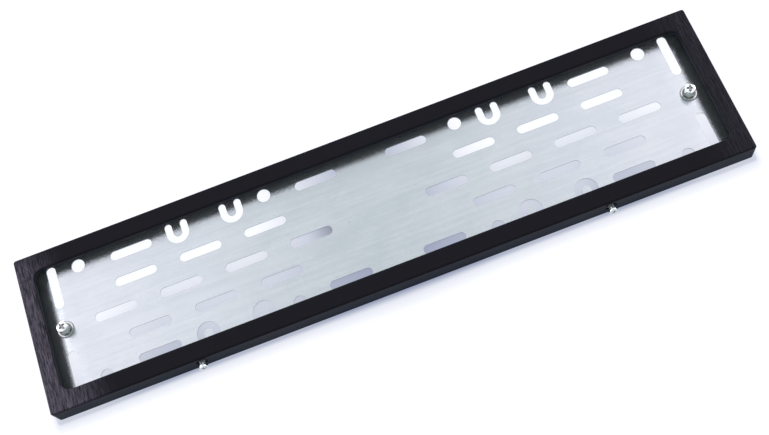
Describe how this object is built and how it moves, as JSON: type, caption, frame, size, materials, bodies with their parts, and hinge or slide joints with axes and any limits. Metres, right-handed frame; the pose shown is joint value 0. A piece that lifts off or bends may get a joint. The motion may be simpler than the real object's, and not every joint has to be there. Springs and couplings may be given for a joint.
{
  "type": "number plate holder",
  "caption": "Steel holder for a long car number plate: a black frame hooks over a slotted zinc-coated backing plate and is locked by screws in its bottom wall.",
  "frame": {"origin": "middle of the footprint, on the plane that the holder is fixed against", "axes": "+X along the holder to its right end, +Y to its top edge, +Z out of its face"},
  "size_m": [0.525, 0.1263, 0.017],
  "materials": {
    "black_paint": "semi-gloss black paint on steel, with a fine wrinkled grain",
    "zinc_sheet": "zinc-coated sheet with faint rolling streaks",
    "bright_zinc": "bright zinc-plated fasteners"
  },
  "bodies": {
    "root": {"front_frame": "black_paint", "backing_plate": "zinc_sheet", "plate_screw_left": "bright_zinc", "plate_screw_right": "bright_zinc", "spacer_nut_left": "bright_zinc", "spacer_nut_right": "bright_zinc", "plate_washer_left": "bright_zinc", "plate_washer_right": "bright_zinc", "lock_screw_left": "bright_zinc", "lock_screw_right": "bright_zinc"}
  },
  "joints": []
}
